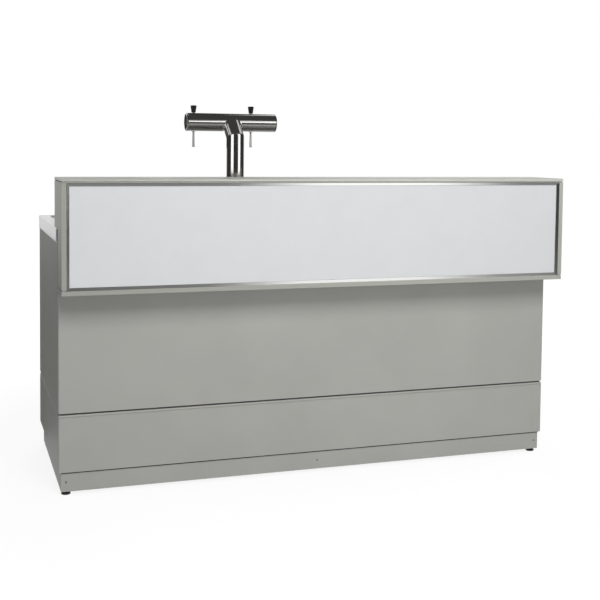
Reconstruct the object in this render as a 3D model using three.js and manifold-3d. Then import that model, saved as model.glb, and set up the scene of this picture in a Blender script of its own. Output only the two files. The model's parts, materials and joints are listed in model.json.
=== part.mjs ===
// A free-standing beer bar counter: a grey body with open shelf bays at the back, a steel worktop,
// a raised bar top whose front is a framed white light box, and a T-shaped tower with two taps.
// Millimetres, +Z up. Guests stand at -Y, the bartender at +Y. The origin is on the floor, in the
// middle of the counter's plan.
import * as THREE from "three";
import { mergeVertices } from "three/addons/utils/BufferGeometryUtils.js";
import Module from "manifold-3d";

const wasm = await Module();
wasm.setup();

// Gap between pieces that are cut to each other's shape.
const GAP = 0.3;

// Body: two bands of double-skinned panels with a groove between them.
const BODY_WIDTH = 2000;
const BODY_DEPTH = 775;
const PANEL = 20;
const SKIN = 1;
const CORNER_RADIUS = 6;
const LOWER_BAND = 210.5;
const GROOVE = 7;
const LIP_HEIGHT = 4.5;
const LIP_DEPTH = 3;
const CREASE_HEIGHT = 5;
const CREASE_DEPTH = 2;
const CREASE_STEP = 0.4;
const SEAL_SETBACK = 6;
const SEAL_DEPTH = 10;

// Plinth and levelling feet.
const FOOT_GAP = 15;
const PLINTH_HEIGHT = 73;
const PLINTH_SHEET = 2;
const PLINTH_FRONT_INSET = 8;
const PLINTH_SIDE_INSET = 10;
const PLINTH_BACK_INSET = 60;
const FOOT_PAD_RADIUS = 17;
const FOOT_PAD_HEIGHT = 9;
const FOOT_COLLAR_RADIUS = 8;
const FOOT_STEM_RADIUS = 4;
const FOOT_STEM_LENGTH = 62;
const FOOT_SIDE_INSET = 20;
const FOOT_FRONT_INSET = 26;
const FOOT_STEM_CLEARANCE = 0.3;
const BOSS_RADIUS = 7.5;
const BOSS_GAP = 0.5;
const FOOT_SIDES = 24;

// Cabinet floor, divider, rear posts and shelves.
const SHEET = 1.5;
const FLOOR_LIP = 20;
const BACK_SETBACK = 4;
const DIVIDER = 20;
const DIVIDER_X = 0;
const POST = 30;
const SHELF_DEPTH = 560;
const SHELF_LIP = 30;
const SHELF_SIDE_CLEARANCE = 2;
const SHELF_FRONT_CLEARANCE = 5;
const LEFT_SHELF_HEIGHT = 480;
const RIGHT_LOWER_SHELF_HEIGHT = 400;
const RIGHT_UPPER_SHELF_HEIGHT = 670;
const RAIL_LEG = 25;
const RAIL_LENGTH = 500;

// Steel worktop: a turned-down edge, a raised rim and a lowered field.
const WORKTOP_HEIGHT = 978;
const WORKTOP_EDGE = 53;
const WORKTOP_PROUD = 3;
const WORKTOP_FRONT_SETBACK = 4;
const WORKTOP_FRONT_RADIUS = 40;
const WORKTOP_BACK_RADIUS = 12;
const WORKTOP_HEM = 18;
const RIM_WIDTH = 42;
const RIM_RADIUS = 18;
const FIELD_DROP = 8;
const BOARD = 12;
const BOARD_CLEARANCE = 1;

// Raised bar top with the light box in front of it.
const BAR_TOP_HEIGHT = 1162;
const BAR_TOP_DEPTH = 244;
const BAR_TOP_EDGE = 9;
const BAR_TOP_NOSE = 3;
const OVERHANG = 128;
const FASCIA_HEIGHT = 410;
const TOP_RAIL_HEIGHT = 6;
const TOP_RAIL_SETBACK = 1.5;
const TOP_RAIL_END_GAP = 2;
const FRAME_FACE = 17;
const FRAME_DEPTH = 18;
const CHEEK = 18;
const CHEEK_FOOT_GAP = 0.9;
const CHEEK_GROOVE = 3.5;
const CHEEK_CHAMFER = 2.5;
const BEZEL_FACE = 11;
const BEZEL_BACK = 2;
const BEZEL_SETBACK = 1;
const SIGN_THICKNESS = 4;
const SIGN_REBATE = 8;
const SIGN_SETBACK = 9;
const UPSTAND = 2;
const REFLECTOR = 1;
const REFLECTOR_SETBACK = 95;
const BATTEN_LENGTH = 1800;
const BATTEN_BASE = 36;
const BATTEN_HEIGHT = 20;
const BATTEN_TUBE_RADIUS = 13;
const BATTEN_FROM_EDGE = 100;
const BATTEN_SIDES = 16;

// Beer tower, centred on its column.
const TOWER_X = -264;
const TOWER_FROM_FRONT = 300;
const COLUMN_RADIUS = 36.5;
const TUBE_WALL = 2;
const COLUMN_HEIGHT = 345;
const NECK_RISE = 62;
const ARM_SETBACK = 72;
const ARM_RADIUS = 37;
const ARM_LENGTH = 371;
const CAP_EDGE = 2;
const CAP_DOME = 4;
const FLANGE_RADIUS = 65;
const FLANGE_HEIGHT = 8;
const SHANK_RADIUS = 24;
const SHANK_BORE = 20;
const SHANK_LENGTH = 50;
const SHANK_CLEARANCE = 1;
const NUT_RADIUS = 42;
const NUT_HEIGHT = 16;
const TUBE_SIDES = 48;

// Taps on the bartender's side of the arm.
const TAP_SPACING = 250;
const TAP_REACH = 141;
const TAP_BARREL_RADIUS = 12;
const TAP_COLLAR_RADIUS = 19;
const TAP_COLLAR_LENGTH = 18;
const VALVE_RADIUS = 16;
const VALVE_BELOW = 26;
const VALVE_ABOVE = 24;
const SPOUT_LENGTH = 75.5;
const SPOUT_SOCKET_RADIUS = 9;
const SPOUT_SOCKET_LENGTH = 9;
const SPOUT_NECK_RADIUS = 4.1;
const SPOUT_END_RADIUS = 5.3;
const SPOUT_BORE = 2.6;
const BALL_RADIUS = 10;
const BALL_LIFT = 3;
const BALL_CLEARANCE = 0.5;
const STEM_RADIUS = 4;
const STEM_LENGTH = 16.5;
const KNOB_HEIGHT = 30;
const KNOB_FOOT_RADIUS = 9.3;
const KNOB_TOP_RADIUS = 13.2;
const KNOB_ROUND = 2.5;
const TAP_SIDES = 24;

// Drip tray in the worktop and the slotted grid that lies in it.
const TRAY_LENGTH = 440;
const TRAY_WIDTH = 220;
const TRAY_RADIUS = 18;
const TRAY_DEPTH = 40;
const TRAY_SHEET = 1.5;
const TRAY_FLANGE = 12;
const TRAY_CLEARANCE = 1.5;
const TRAY_LEDGE = 7;
const DRAIN_RADIUS = 11;
const DRAIN_BORE = 9;
const DRAIN_LENGTH = 24;
const GRID_THICKNESS = 3;
const GRID_CLEARANCE = 1;
const GRID_RAISE = 0.5;
const GRID_ROWS = 3;
const GRID_MARGIN = 14;
const SLOT_WIDTH = 8;
const SLOT_PITCH = 25;
const SLOT_ROW_GAP = 12;

// Heights and planes that follow from the sizes above. Depths are measured from the body's front.
const BODY_BOTTOM = FOOT_GAP + PLINTH_HEIGHT;
const BAND_TOP = BODY_BOTTOM + LOWER_BAND;
const UPPER_BOTTOM = BAND_TOP + GROOVE;
const PANEL_TOP = WORKTOP_HEIGHT - WORKTOP_EDGE;
const FIELD_HEIGHT = WORKTOP_HEIGHT - FIELD_DROP;
const FLOOR_TOP = BODY_BOTTOM + FLOOR_LIP;
const HALF_WIDTH = BODY_WIDTH / 2;
const INNER_HALF_WIDTH = HALF_WIDTH - PANEL;
const BACK_EDGE = BODY_DEPTH - BACK_SETBACK;
const BAR_TOP_BACK = BAR_TOP_DEPTH - OVERHANG;
const FASCIA_BOTTOM = BAR_TOP_HEIGHT - FASCIA_HEIGHT;
const SLAB_BOTTOM = BAR_TOP_HEIGHT - BAR_TOP_EDGE;
const FRAME_TOP = SLAB_BOTTOM - TOP_RAIL_HEIGHT;
const BOTTOM_RAIL_TOP = FASCIA_BOTTOM + FRAME_FACE;
const CHEEK_FRONT = FRAME_DEPTH - OVERHANG;
const TAP_FROM_COLUMN = ARM_SETBACK + TAP_REACH;
const TRAY_CENTRE = TOWER_FROM_FRONT + TAP_FROM_COLUMN;
const BOARD_TOP = FIELD_HEIGHT - SHEET;
const BOARD_BOTTOM = BOARD_TOP - BOARD;
const TOTAL_DEPTH = OVERHANG + BODY_DEPTH + WORKTOP_PROUD;
const FRONT_PLANE = OVERHANG - TOTAL_DEPTH / 2;

const finishes = {
  panel: { color: 0xa1a19d, roughness: 0.5, metalness: 0.1 },
  frame: { color: 0xa2a39b, roughness: 0.42, metalness: 0.7 },
  steel: { color: 0xc9cacb, roughness: 0.3, metalness: 1 },
  polished: { color: 0xb8b6b2, roughness: 0.08, metalness: 1 },
  sign: { color: 0xd8dadc, roughness: 0.35, metalness: 0 },
  white: { color: 0xf0f0ee, roughness: 0.6, metalness: 0 },
  black: { color: 0x141414, roughness: 0.4, metalness: 0 },
  board: { color: 0x9a8a72, roughness: 0.8, metalness: 0 },
};

// A closed geometry as a solid that can be joined and cut.
function solid(geometry) {
  const bare = geometry.clone();
  bare.deleteAttribute("normal");
  bare.deleteAttribute("uv");
  const merged = mergeVertices(bare, 1e-3);
  return new wasm.Manifold(
    new wasm.Mesh({
      numProp: 3,
      vertProperties: merged.attributes.position.array,
      triVerts: new Uint32Array(merged.index.array),
    }),
  );
}

// A solid back as a geometry.
function geometryOf(made) {
  const mesh = made.getMesh();
  const geometry = new THREE.BufferGeometry();
  geometry.setAttribute("position", new THREE.BufferAttribute(new Float32Array(mesh.vertProperties), 3));
  geometry.setIndex(new THREE.BufferAttribute(new Uint32Array(mesh.triVerts), 1));
  geometry.computeVertexNormals();
  return geometry;
}

// A named mesh in a group, from a solid or a geometry.
function place(group, name, made, finish, x = 0, y = 0, z = 0) {
  const geometry = made.isBufferGeometry ? made : geometryOf(made);
  const mesh = new THREE.Mesh(geometry, new THREE.MeshStandardMaterial(finishes[finish]));
  mesh.name = name;
  mesh.position.set(x, y, z);
  group.add(mesh);
  return mesh;
}

function boxGeometry([x0, y0, z0], [x1, y1, z1]) {
  const geometry = new THREE.BoxGeometry(x1 - x0, y1 - y0, z1 - z0);
  return geometry.translate((x0 + x1) / 2, (y0 + y1) / 2, (z0 + z1) / 2);
}

function block(low, high) {
  return solid(boxGeometry(low, high));
}

function outline(points) {
  return new THREE.Shape(points.map(([u, v]) => new THREE.Vector2(u, v)));
}

// A rectangle with round corners: front radius at low v, back radius at high v.
function roundedPlan(u0, u1, v0, v1, frontRadius, backRadius = frontRadius) {
  const shape = new THREE.Shape();
  const quarter = Math.PI / 2;
  shape.moveTo(u0 + frontRadius, v0);
  shape.lineTo(u1 - frontRadius, v0);
  shape.absarc(u1 - frontRadius, v0 + frontRadius, frontRadius, 3 * quarter, 4 * quarter);
  shape.lineTo(u1, v1 - backRadius);
  shape.absarc(u1 - backRadius, v1 - backRadius, backRadius, 0, quarter);
  shape.lineTo(u0 + backRadius, v1);
  shape.absarc(u0 + backRadius, v1 - backRadius, backRadius, quarter, 2 * quarter);
  shape.lineTo(u0, v0 + frontRadius);
  shape.absarc(u0 + frontRadius, v0 + frontRadius, frontRadius, 2 * quarter, 3 * quarter);
  return shape;
}

function extruded(shape, depth, curveSegments) {
  return new THREE.ExtrudeGeometry(shape, { depth, bevelEnabled: false, curveSegments });
}

// A plan outline, x and y, raised from z0 to z1.
function alongZ(shape, z0, z1, curveSegments = 6) {
  return extruded(shape, z1 - z0, curveSegments).translate(0, 0, z0);
}

// A section, y and z, drawn out from x0 to x1.
function alongX(shape, x0, x1, curveSegments = 6) {
  const turn = new THREE.Matrix4().makeBasis(
    new THREE.Vector3(0, 1, 0),
    new THREE.Vector3(0, 0, 1),
    new THREE.Vector3(1, 0, 0),
  );
  return extruded(shape, x1 - x0, curveSegments).applyMatrix4(turn).translate(x0, 0, 0);
}

// A section, x and z, drawn out from y0 to y1.
function alongY(shape, y0, y1, curveSegments = 6) {
  const turn = new THREE.Matrix4().makeBasis(
    new THREE.Vector3(1, 0, 0),
    new THREE.Vector3(0, 0, 1),
    new THREE.Vector3(0, -1, 0),
  );
  return extruded(shape, y1 - y0, curveSegments).applyMatrix4(turn).translate(0, y1, 0);
}

// A profile of radius and height pairs, turned about Z.
function turned(profile, sides) {
  const points = profile.map(([radius, height]) => new THREE.Vector2(radius, height));
  return new THREE.LatheGeometry(points, sides).rotateX(Math.PI / 2);
}

// A ring about Z, from z0 to z1.
function ring(outer, bore, z0, z1, sides) {
  return turned([[bore, z0], [outer, z0], [outer, z1], [bore, z1], [bore, z0]], sides);
}

// A round bar about Z, from z0 to z1.
function bar(radius, z0, z1, sides) {
  return turned([[0, z0], [radius, z0], [radius, z1], [0, z1]], sides);
}

const counter = new THREE.Group();

// Everything but the tower is measured from the middle of the body's front, at floor level.
const body = new THREE.Group();
body.position.set(0, FRONT_PLANE, 0);
counter.add(body);

// One band of the casing, all round the front and sides, as a block with its outer form.
function casingBand(low, high, lipped) {
  const plan = roundedPlan(-HALF_WIDTH, HALF_WIDTH, 0, BODY_DEPTH + CORNER_RADIUS, CORNER_RADIUS);
  const back = block([-BODY_WIDTH, BODY_DEPTH, low - GROOVE], [BODY_WIDTH, BODY_DEPTH * 2, high + GROOVE]);
  const band = solid(alongZ(plan, low, high)).subtract(back);
  if (!lipped) return band;
  const edge = [
    [LIP_DEPTH, high],
    [0, high - LIP_HEIGHT],
    [CREASE_DEPTH, high - LIP_HEIGHT - CREASE_HEIGHT],
    [0, high - LIP_HEIGHT - CREASE_HEIGHT - CREASE_STEP],
    [0, low],
  ];
  const frontSection = outline([[BODY_DEPTH, low], [BODY_DEPTH, high], ...edge]);
  const rightEdge = edge.map(([inset, z]) => [HALF_WIDTH - inset, z]).reverse();
  const leftEdge = edge.map(([inset, z]) => [inset - HALF_WIDTH, z]);
  const sideSection = outline([...rightEdge, ...leftEdge]);
  const front = solid(alongX(frontSection, -HALF_WIDTH, HALF_WIDTH));
  const sides = solid(alongY(sideSection, 0, BODY_DEPTH));
  return band.intersect(front).intersect(sides);
}

// The band cut into a front and two side panels, each hollow between its skins.
function addBand(name, low, high, lipped) {
  const band = casingBand(low, high, lipped);
  const hollowLow = lipped ? low - SKIN : low + SKIN;
  const edgeHeight = LIP_HEIGHT + CREASE_HEIGHT + CREASE_STEP;
  const hollowHigh = lipped ? high - edgeHeight - SKIN : high + SKIN;
  const inset = CORNER_RADIUS + SKIN;
  const deep = PANEL - SKIN;
  const front = band
    .intersect(block([-BODY_WIDTH, -PANEL, low], [BODY_WIDTH, PANEL, high]))
    .subtract(block([inset - HALF_WIDTH, SKIN, hollowLow], [HALF_WIDTH - inset, deep, hollowHigh]));
  place(body, `front_panel_${name}`, front, "panel");
  for (const [side, sign] of [["left", -1], ["right", 1]]) {
    const outer = [sign * BODY_WIDTH, sign * INNER_HALF_WIDTH].sort((a, b) => a - b);
    const hollow = [sign * (HALF_WIDTH - SKIN), sign * (INNER_HALF_WIDTH + SKIN)].sort((a, b) => a - b);
    const panel = band
      .intersect(block([outer[0], PANEL, low], [outer[1], BODY_DEPTH, high]))
      .subtract(
        block([hollow[0], PANEL + SKIN, hollowLow], [hollow[1], BODY_DEPTH - SKIN, hollowHigh]),
      );
    place(body, `side_panel_${side}_${name}`, panel, "panel");
  }
}
addBand("lower", BODY_BOTTOM, BAND_TOP, true);
addBand("upper", UPPER_BOTTOM, PANEL_TOP, false);

// Black seal that fills the groove behind the panels' faces and carries the upper band.
function addSeal() {
  const edge = (inset) => [
    [inset - HALF_WIDTH, BODY_DEPTH - SEAL_SETBACK],
    [inset - HALF_WIDTH, inset],
    [HALF_WIDTH - inset, inset],
    [HALF_WIDTH - inset, BODY_DEPTH - SEAL_SETBACK],
  ];
  const strip = outline([...edge(SEAL_SETBACK), ...edge(SEAL_SETBACK + SEAL_DEPTH).reverse()]);
  place(body, "groove_seal", alongZ(strip, BAND_TOP, UPPER_BOTTOM), "black");
}
addSeal();

// Plinth: four upright sheets set in from the body.
function addPlinth() {
  const half = HALF_WIDTH - PLINTH_SIDE_INSET;
  const inner = half - PLINTH_SHEET;
  const front = PLINTH_FRONT_INSET;
  const back = BODY_DEPTH - PLINTH_BACK_INSET;
  const sheet = (x0, x1, y0, y1) => boxGeometry([x0, y0, FOOT_GAP], [x1, y1, BODY_BOTTOM]);
  place(body, "plinth_front", sheet(-half, half, front, front + PLINTH_SHEET), "panel");
  place(body, "plinth_left", sheet(-half, -inner, front + PLINTH_SHEET, back), "panel");
  place(body, "plinth_right", sheet(inner, half, front + PLINTH_SHEET, back), "panel");
  place(body, "plinth_back", sheet(-inner, inner, back - PLINTH_SHEET, back), "panel");
}
addPlinth();

// Places of the four feet, inside the plinth's corners.
function footPlaces() {
  const x = HALF_WIDTH - PLINTH_SIDE_INSET - FOOT_SIDE_INSET;
  const front = PLINTH_FRONT_INSET + FOOT_FRONT_INSET;
  const back = BODY_DEPTH - PLINTH_BACK_INSET - FOOT_FRONT_INSET;
  return [
    ["front_left", -x, front],
    ["front_right", x, front],
    ["back_left", -x, back],
    ["back_right", x, back],
  ];
}

// Each foot: a pad, a collar that stops under the boss, and a threaded stem.
function addFeet() {
  const collarTop = FOOT_GAP + FOOT_PAD_HEIGHT;
  const stemTop = collarTop + FOOT_STEM_LENGTH;
  const profile = [
    [0, 0],
    [FOOT_PAD_RADIUS, 0],
    [FOOT_PAD_RADIUS, FOOT_PAD_HEIGHT / 2],
    [FOOT_COLLAR_RADIUS, FOOT_PAD_HEIGHT],
    [FOOT_COLLAR_RADIUS, collarTop],
    [FOOT_STEM_RADIUS, collarTop],
    [FOOT_STEM_RADIUS, stemTop],
    [0, stemTop],
  ];
  for (const [corner, x, y] of footPlaces()) {
    place(body, `levelling_foot_${corner}`, turned(profile, FOOT_SIDES), "black", x, y, 0);
  }
}
addFeet();

// Cabinet floor: a folded sheet with a threaded boss over each foot.
function addFloor() {
  const half = INNER_HALF_WIDTH;
  const low = [-half, PANEL, BODY_BOTTOM];
  const high = [half, BACK_EDGE, FLOOR_TOP];
  const hollow = block(
    [SHEET - half, PANEL + SHEET, BODY_BOTTOM - SHEET],
    [half - SHEET, BACK_EDGE - SHEET, FLOOR_TOP - SHEET],
  );
  let floor = block(low, high).subtract(hollow);
  const bossFoot = FOOT_GAP + FOOT_PAD_HEIGHT + BOSS_GAP;
  const bossTop = FLOOR_TOP - SHEET / 2;
  const bore = FOOT_STEM_RADIUS + FOOT_STEM_CLEARANCE;
  const boreTop = bossTop - SHEET;
  for (const [, x, y] of footPlaces()) {
    const boss = solid(bar(BOSS_RADIUS, bossFoot, bossTop, FOOT_SIDES).translate(x, y, 0));
    const hole = solid(bar(bore, bossFoot - SHEET, boreTop, FOOT_SIDES).translate(x, y, 0));
    floor = floor.add(boss).subtract(hole);
  }
  place(body, "cabinet_floor", floor, "steel");
}
addFloor();

// Upright divider between the two bays, hollow and open at its hidden top edge.
function addDivider() {
  const half = DIVIDER / 2;
  const panel = block([-half, PANEL, FLOOR_TOP], [half, BACK_EDGE, PANEL_TOP]);
  const hollow = block(
    [SKIN - half, PANEL + SKIN, FLOOR_TOP + SKIN],
    [half - SKIN, BACK_EDGE - SKIN, PANEL_TOP + SKIN],
  );
  place(body, "divider_panel", panel.subtract(hollow), "steel", DIVIDER_X);
}
addDivider();

// Square-tube posts that carry the worktop's rear corners.
function addPosts() {
  const half = POST / 2;
  const tube = block([-half, -half, FLOOR_TOP], [half, half, PANEL_TOP]);
  const bore = half - SHEET;
  const hollow = block([-bore, -bore, FLOOR_TOP - SHEET], [bore, bore, PANEL_TOP + SHEET]);
  for (const [side, sign] of [["left", -1], ["right", 1]]) {
    const x = sign * (INNER_HALF_WIDTH - half);
    place(body, `rear_post_${side}`, tube.subtract(hollow), "steel", x, BACK_EDGE - half);
  }
}
addPosts();

// A folded shelf between two walls, with an angle rail under each end.
function addShelf(name, wallLow, wallHigh, height) {
  const front = PANEL + SHELF_FRONT_CLEARANCE;
  const x0 = wallLow + SHELF_SIDE_CLEARANCE;
  const x1 = wallHigh - SHELF_SIDE_CLEARANCE;
  const low = height - SHELF_LIP;
  const shelf = block([x0, front, low], [x1, front + SHELF_DEPTH, height]).subtract(
    block(
      [x0 + SHEET, front + SHEET, low - SHEET],
      [x1 - SHEET, front + SHELF_DEPTH - SHEET, height - SHEET],
    ),
  );
  place(body, `shelf_${name}`, shelf, "steel");
  const start = front + (SHELF_DEPTH - RAIL_LENGTH) / 2;
  for (const [end, wall, sign] of [["left", wallLow, 1], ["right", wallHigh, -1]]) {
    const angle = [
      [0, low],
      [sign * RAIL_LEG, low],
      [sign * RAIL_LEG, low - SHEET],
      [sign * SHEET, low - SHEET],
      [sign * SHEET, low - RAIL_LEG],
      [0, low - RAIL_LEG],
    ];
    const rail = alongY(outline(angle), start, start + RAIL_LENGTH);
    place(body, `shelf_rail_${name}_${end}`, rail, "steel", wall);
  }
}
addShelf("left", -INNER_HALF_WIDTH, DIVIDER_X - DIVIDER / 2, LEFT_SHELF_HEIGHT);
addShelf("right_lower", DIVIDER_X + DIVIDER / 2, INNER_HALF_WIDTH, RIGHT_LOWER_SHELF_HEIGHT);
addShelf("right_upper", DIVIDER_X + DIVIDER / 2, INNER_HALF_WIDTH, RIGHT_UPPER_SHELF_HEIGHT);

// The worktop's plan, drawn in by an inset.
function worktopPlan(inset) {
  const half = HALF_WIDTH + WORKTOP_PROUD - inset;
  return roundedPlan(
    -half,
    half,
    WORKTOP_FRONT_SETBACK + inset,
    BODY_DEPTH + WORKTOP_PROUD - inset,
    Math.max(WORKTOP_FRONT_RADIUS - inset, SHEET),
    Math.max(WORKTOP_BACK_RADIUS - inset, SHEET),
  );
}

// The lowered field of the worktop, grown by an outset.
function fieldPlan(outset) {
  const half = HALF_WIDTH - RIM_WIDTH + outset;
  const front = BAR_TOP_BACK + RIM_WIDTH - outset;
  const back = BODY_DEPTH - RIM_WIDTH + outset;
  return roundedPlan(-half, half, front, back, RIM_RADIUS + outset);
}

// The drip tray's plan about its own centre, grown by an outset.
function trayPlan(outset) {
  const half = TRAY_LENGTH / 2 + outset;
  const deep = TRAY_WIDTH / 2 + outset;
  return roundedPlan(-half, half, -deep, deep, Math.max(TRAY_RADIUS + outset, SHEET));
}

// Cut-outs in the worktop and its board for the drip tray and the tower's shank.
function worktopCuts(low, high) {
  const tray = solid(alongZ(trayPlan(TRAY_SHEET + TRAY_CLEARANCE), low, high));
  const shank = solid(bar(SHANK_RADIUS + SHANK_CLEARANCE, low, high, TUBE_SIDES));
  return tray
    .translate([TOWER_X, TRAY_CENTRE, 0])
    .add(shank.translate([TOWER_X, TOWER_FROM_FRONT, 0]));
}

function addWorktop() {
  const low = PANEL_TOP;
  const above = WORKTOP_HEIGHT + SHEET;
  const shell = solid(alongZ(worktopPlan(0), low, WORKTOP_HEIGHT))
    .subtract(solid(alongZ(worktopPlan(SHEET), low + SHEET, WORKTOP_HEIGHT - SHEET)))
    .subtract(solid(alongZ(worktopPlan(WORKTOP_HEM), low - SHEET, low + SHEET * 2)));
  const pan = solid(alongZ(fieldPlan(SHEET), BOARD_TOP, WORKTOP_HEIGHT));
  const worktop = shell
    .add(pan)
    .subtract(solid(alongZ(fieldPlan(0), FIELD_HEIGHT, above)))
    .subtract(worktopCuts(low, above));
  place(body, "worktop", worktop, "steel");
  const board = solid(alongZ(worktopPlan(SHEET + BOARD_CLEARANCE), BOARD_BOTTOM, BOARD_TOP));
  place(body, "worktop_board", board.subtract(worktopCuts(low, above)), "board");
}
addWorktop();

// A slot across the grid with its corners cut off.
function slotOutline(x, y0, y1) {
  const half = SLOT_WIDTH / 2;
  const cut = SLOT_WIDTH / 4;
  return outline([
    [x - half, y0 + cut],
    [x - cut, y0],
    [x + cut, y0],
    [x + half, y0 + cut],
    [x + half, y1 - cut],
    [x + cut, y1],
    [x - cut, y1],
    [x - half, y1 - cut],
  ]);
}

// Drip tray: a flange on the field, a ledge for the grid, a pan and a drain stub.
function addTray() {
  const flangeTop = TRAY_SHEET;
  const panFoot = -TRAY_DEPTH;
  const ledge = GRID_RAISE + TRAY_SHEET - GRID_THICKNESS;
  let tray = solid(alongZ(trayPlan(TRAY_FLANGE), 0, flangeTop))
    .add(solid(alongZ(trayPlan(TRAY_SHEET), ledge - TRAY_SHEET, flangeTop)))
    .add(solid(alongZ(trayPlan(TRAY_SHEET - TRAY_LEDGE), panFoot - TRAY_SHEET, 0)))
    .add(solid(bar(DRAIN_RADIUS, panFoot - DRAIN_LENGTH, panFoot, TAP_SIDES)));
  tray = tray
    .subtract(solid(alongZ(trayPlan(0), ledge, flangeTop + TRAY_SHEET)))
    .subtract(solid(alongZ(trayPlan(-TRAY_LEDGE), panFoot, flangeTop)))
    .subtract(solid(bar(DRAIN_BORE, panFoot - DRAIN_LENGTH * 2, flangeTop, TAP_SIDES)));
  place(body, "drip_tray", tray, "steel", TOWER_X, TRAY_CENTRE, FIELD_HEIGHT);

  const grid = trayPlan(-GRID_CLEARANCE);
  const usable = TRAY_LENGTH - 2 * (GRID_MARGIN + GRID_CLEARANCE);
  const columns = Math.floor((usable - SLOT_WIDTH) / SLOT_PITCH) + 1;
  const across = TRAY_WIDTH - 2 * (GRID_MARGIN + GRID_CLEARANCE);
  const slotLength = (across - (GRID_ROWS - 1) * SLOT_ROW_GAP) / GRID_ROWS;
  for (let column = 0; column < columns; column += 1) {
    const x = (column - (columns - 1) / 2) * SLOT_PITCH;
    for (let row = 0; row < GRID_ROWS; row += 1) {
      const y0 = row * (slotLength + SLOT_ROW_GAP) - across / 2;
      grid.holes.push(slotOutline(x, y0, y0 + slotLength));
    }
  }
  const plate = alongZ(grid, ledge, ledge + GRID_THICKNESS, 3);
  place(body, "drip_grid", plate, "steel", TOWER_X, TRAY_CENTRE, FIELD_HEIGHT);
}
addTray();

// Bar top: a folded sheet with a rounded nose at the guests' edge.
function addBarTop() {
  const low = SLAB_BOTTOM;
  const section = roundedPlan(-OVERHANG, BAR_TOP_BACK, -BAR_TOP_HEIGHT, -low, BAR_TOP_NOSE, SKIN);
  const slab = solid(alongX(section, -HALF_WIDTH, HALF_WIDTH).rotateY(Math.PI));
  const hollow = block(
    [SHEET - HALF_WIDTH, SHEET + BAR_TOP_NOSE - OVERHANG, low - SHEET],
    [HALF_WIDTH - SHEET, BAR_TOP_BACK - SHEET, BAR_TOP_HEIGHT - SHEET],
  );
  place(body, "bar_top", slab.subtract(hollow), "frame");
}
addBarTop();

// The light box's metal frame: a top rail, a bottom rail that is also the box's floor, posts with
// rounded feet, and L-shaped cheeks.
function addFrame() {
  const front = -OVERHANG;
  const railEnd = HALF_WIDTH - TOP_RAIL_END_GAP;
  place(
    body,
    "top_rail",
    boxGeometry([-railEnd, front + TOP_RAIL_SETBACK, FRAME_TOP], [railEnd, CHEEK_FRONT, SLAB_BOTTOM]),
    "frame",
  );
  const hollow = block(
    [CHEEK - HALF_WIDTH, CHEEK_FRONT, FASCIA_BOTTOM + SHEET],
    [HALF_WIDTH - CHEEK, -SHEET, BOTTOM_RAIL_TOP + SHEET],
  );
  const bottomRail = block([-HALF_WIDTH, front, FASCIA_BOTTOM], [HALF_WIDTH, 0, BOTTOM_RAIL_TOP]);
  place(body, "bottom_rail", bottomRail.subtract(hollow), "frame");
  const cheekFoot = BOTTOM_RAIL_TOP + CHEEK_FOOT_GAP;
  const cheekSection = outline([
    [CHEEK_FRONT, cheekFoot],
    [0, cheekFoot],
    [0, WORKTOP_HEIGHT],
    [BAR_TOP_BACK, WORKTOP_HEIGHT],
    [BAR_TOP_BACK, SLAB_BOTTOM],
    [CHEEK_FRONT, SLAB_BOTTOM],
  ]);
  for (const [side, sign] of [["left", -1], ["right", 1]]) {
    const outer = sign * HALF_WIDTH;
    const inner = sign * (HALF_WIDTH - FRAME_FACE);
    const post = roundedPlan(
      Math.min(outer, inner),
      Math.max(outer, inner),
      BOTTOM_RAIL_TOP,
      FRAME_TOP,
      FRAME_FACE / 2 - GAP,
      GAP,
    );
    place(body, `frame_post_${side}`, alongY(post, front, CHEEK_FRONT), "frame");
    const cheekInner = sign * (HALF_WIDTH - CHEEK);
    const low = Math.min(outer, cheekInner);
    const high = Math.max(outer, cheekInner);
    const groove = outline([
      [outer + sign, SLAB_BOTTOM + CHEEK_GROOVE],
      [outer - sign * CHEEK_CHAMFER, SLAB_BOTTOM + CHEEK_GROOVE],
      [outer - sign * CHEEK_CHAMFER, SLAB_BOTTOM - CHEEK_GROOVE],
      [outer, SLAB_BOTTOM - CHEEK_GROOVE - CHEEK_CHAMFER],
      [outer + sign, SLAB_BOTTOM - CHEEK_GROOVE - CHEEK_CHAMFER],
    ]);
    const cut = solid(alongY(groove, -BODY_DEPTH, BODY_DEPTH));
    place(body, `cheek_${side}`, solid(alongX(cheekSection, low, high)).subtract(cut), "frame");
  }
}
addFrame();

// White sign panel held by four mitred bezel strips.
function addSign() {
  const half = HALF_WIDTH - FRAME_FACE;
  const low = BOTTOM_RAIL_TOP;
  const high = FRAME_TOP;
  const face = SIGN_SETBACK - OVERHANG;
  const rebate = BEZEL_FACE - SIGN_REBATE;
  place(
    body,
    "sign_panel",
    boxGeometry(
      [rebate - half, face, low + rebate],
      [half - rebate, face + SIGN_THICKNESS, high - rebate],
    ),
    "sign",
  );
  // Section across a strip: distance in from the frame, and depth from the body's front.
  const back = face - GAP;
  const section = [
    [0, BEZEL_SETBACK - OVERHANG],
    [BEZEL_FACE, back - BEZEL_BACK],
    [BEZEL_FACE, back],
    [0, back],
  ];
  const corner = (s, t) => [[-half, low], [half, low], [half, high], [-half, high]].map(
    ([x, z], i) => [x + (i === 0 || i === 3 ? s : -s), z + (i < 2 ? t : -t)],
  );
  const names = ["bottom", "right", "top", "left"];
  names.forEach((name, i) => {
    const ends = [i, (i + 1) % 4];
    const rings = ends.map((end, which) =>
      section.map(([inward, y]) => {
        const [x, z] = corner(inward, inward)[end];
        const gap = which === 0 ? GAP : -GAP;
        const along = i % 2 === 0 ? [1, 0] : [0, 1];
        const forward = i < 2 ? 1 : -1;
        return [x + along[0] * gap * forward, y, z + along[1] * gap * forward];
      }),
    );
    place(body, `bezel_${name}`, prismBetween(rings[0], rings[1]), "polished");
  });
}

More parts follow.
